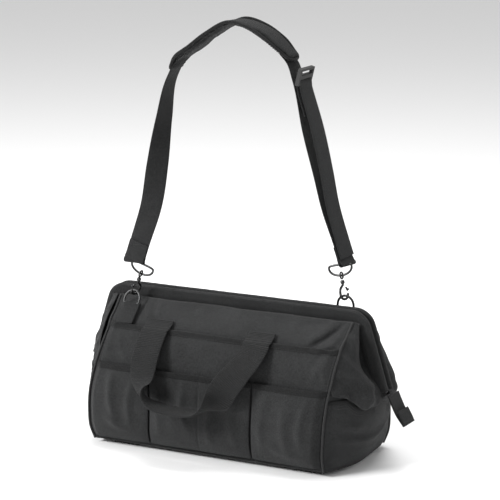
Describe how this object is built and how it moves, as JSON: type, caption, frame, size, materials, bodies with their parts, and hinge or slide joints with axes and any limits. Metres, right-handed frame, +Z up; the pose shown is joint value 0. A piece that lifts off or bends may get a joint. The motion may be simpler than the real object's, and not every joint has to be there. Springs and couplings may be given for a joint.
{
  "type": "tool bag",
  "caption": "Wide-mouth fabric tool bag with hinged steel mouth frames, outside pockets, webbing carry handles and a clip-on padded shoulder strap.",
  "frame": {"origin": "on the ground, under the middle of the whole box with its zip tail", "axes": "+X along the bag's length to its right end, -Y towards the front, +Z up"},
  "size_m": [0.6048, 0.356, 0.7483],
  "materials": {
    "bag_fabric": "plain-weave polyester, matte with a faint sheen",
    "webbing": "ribbed polypropylene webbing, matte",
    "binding": "fine ribbed binding tape, matte",
    "pad_fabric": "plain-weave polyester over foam, matte",
    "zip_tape": "woven tape with moulded coil",
    "stiffener": "plain board",
    "foot_plastic": "ribbed moulding",
    "moulded_buckle": "moulded, fine grain",
    "frame_steel": "zinc-plated strip",
    "dark_nickel": "black nickel plate"
  },
  "bodies": {
    "bag": {"lower_body": "bag_fabric", "base_board": "stiffener", "left_gusset": "bag_fabric", "right_gusset": "bag_fabric", "left_end_pocket": "bag_fabric", "right_end_pocket": "bag_fabric", "front_wall": "bag_fabric", "rear_wall": "bag_fabric", "front_long_pocket": "bag_fabric", "rear_long_pocket": "bag_fabric", "front_lower_pockets": "bag_fabric", "rear_lower_pockets": "bag_fabric", "foot_front_left": "foot_plastic", "foot_front_right": "foot_plastic", "foot_rear_left": "foot_plastic", "foot_rear_right": "foot_plastic", "left_frame_rivet": "frame_steel", "right_frame_rivet": "frame_steel", "left_strap": "webbing", "right_strap_inner": "webbing", "right_strap_outer": "webbing", "strap_slide": "moulded_buckle", "shoulder_pad": "pad_fabric"},
    "front_frame": {"front_mouth_frame": "frame_steel", "front_mouth_binding": "binding", "front_zip_half": "zip_tape", "front_upper_panel": "bag_fabric", "front_handle_left_patch": "webbing", "front_handle_right_patch": "webbing", "left_ring_tab": "webbing", "left_swivel_eye": "dark_nickel", "left_strap_ring": "dark_nickel"},
    "rear_frame": {"rear_mouth_frame": "frame_steel", "rear_mouth_binding": "binding", "rear_zip_half": "zip_tape", "rear_upper_panel": "bag_fabric", "rear_handle_left_patch": "webbing", "rear_handle_right_patch": "webbing", "right_ring_tab": "webbing", "right_swivel_eye": "dark_nickel", "right_strap_ring": "dark_nickel"},
    "zip_slider": {"zip_slider": "dark_nickel"},
    "zip_pull": {"zip_pull": "dark_nickel"},
    "right_zip_tail": {"right_zip_tail": "binding"},
    "front_handle_root": {"front_handle_left_root": "webbing", "front_handle_right_root": "webbing"},
    "rear_handle_root": {"rear_handle_left_root": "webbing", "rear_handle_right_root": "webbing"},
    "front_handle": {"front_handle_grip": "webbing"},
    "rear_handle": {"rear_handle_grip": "webbing"},
    "left_d_ring": {"left_d_ring": "dark_nickel"},
    "right_d_ring": {"right_d_ring": "dark_nickel"},
    "left_hook": {"left_snap_hook": "dark_nickel"},
    "right_hook": {"right_snap_hook": "dark_nickel"},
    "left_gate": {"left_hook_gate": "dark_nickel"},
    "right_gate": {"right_hook_gate": "dark_nickel"}
  },
  "joints": [
    {"name": "front_open", "type": "hinge", "parent": "bag", "child": "front_frame", "pos_m": [-0.02089, 0, 0.135], "axis": [1, 0, 0], "range_deg": [0, 30], "deforming": ["front_wall", "left_gusset", "right_gusset", "front_long_pocket", "left_strap"]},
    {"name": "rear_open", "type": "hinge", "parent": "bag", "child": "rear_frame", "pos_m": [-0.02089, 0, 0.135], "axis": [-1, 0, 0], "range_deg": [0, 30], "deforming": ["rear_wall", "rear_long_pocket", "right_strap_inner", "right_strap_outer"]},
    {"name": "zip_slide", "type": "slide", "parent": "front_frame", "child": "zip_slider", "axis": [1, 0, 0], "range_m": [0, 0.38]},
    {"name": "zip_pull_flip", "type": "hinge", "parent": "zip_slider", "child": "zip_pull", "pos_m": [-0.20489, 0, 0.2602], "axis": [0, -1, 0], "range_deg": [0, 90]},
    {"name": "right_tail_swing", "type": "hinge", "parent": "bag", "child": "right_zip_tail", "pos_m": [0.26211, 0, 0.124], "axis": [0, 1, 0], "range_deg": [-20, 30]},
    {"name": "front_handle_hang", "type": "hinge", "parent": "front_frame", "child": "front_handle_root", "pos_m": [-0.03789, -0.0803, 0.216], "axis": [1, 0, 0], "range_deg": [-30, 0]},
    {"name": "front_handle_lift", "type": "hinge", "parent": "front_handle_root", "child": "front_handle", "pos_m": [-0.03789, -0.091, 0.213], "axis": [-1, 0, 0], "range_deg": [0, 150]},
    {"name": "rear_handle_hang", "type": "hinge", "parent": "rear_frame", "child": "rear_handle_root", "pos_m": [-0.00389, 0.0803, 0.216], "axis": [-1, 0, 0], "range_deg": [-30, 0]},
    {"name": "rear_handle_lift", "type": "hinge", "parent": "rear_handle_root", "child": "rear_handle", "pos_m": [-0.00389, 0.091, 0.213], "axis": [1, 0, 0], "range_deg": [0, 150]},
    {"name": "left_ring_tilt", "type": "hinge", "parent": "front_frame", "child": "left_d_ring", "pos_m": [-0.20689, -0.0478, 0.2422], "axis": [1, 0, 0], "range_deg": [-4, 4]},
    {"name": "right_ring_tilt", "type": "hinge", "parent": "rear_frame", "child": "right_d_ring", "pos_m": [0.16611, 0.0345, 0.256], "axis": [1, 0, 0], "range_deg": [-4, 4]},
    {"name": "left_hook_swivel", "type": "hinge", "parent": "front_frame", "child": "left_hook", "pos_m": [-0.20589, -0.0384, 0.2576], "axis": [0.3678, -0.0633, 0.9277], "range_deg": [-10, 10]},
    {"name": "right_hook_swivel", "type": "hinge", "parent": "rear_frame", "child": "right_hook", "pos_m": [0.16561, 0.0324, 0.2736], "axis": [-0.2427, 0.1566, 0.9574], "range_deg": [-10, 10]},
    {"name": "left_gate_press", "type": "hinge", "parent": "left_hook", "child": "left_gate", "pos_m": [-0.2001, -0.04464, 0.27719], "axis": [0.8629, -0.3486, -0.3659], "range_deg": [0, 22], "stiffness_Nm_per_rad": 0.02},
    {"name": "right_gate_press", "type": "hinge", "parent": "right_hook", "child": "right_gate", "pos_m": [0.16263, 0.04049, 0.29314], "axis": [-0.889, 0.3592, -0.2841], "range_deg": [0, 22], "stiffness_Nm_per_rad": 0.02}
  ],
  "couplings": [
    {"joint": "front_handle_hang", "follows": "front_open", "ratio": -1},
    {"joint": "rear_handle_hang", "follows": "rear_open", "ratio": -1}
  ]
}
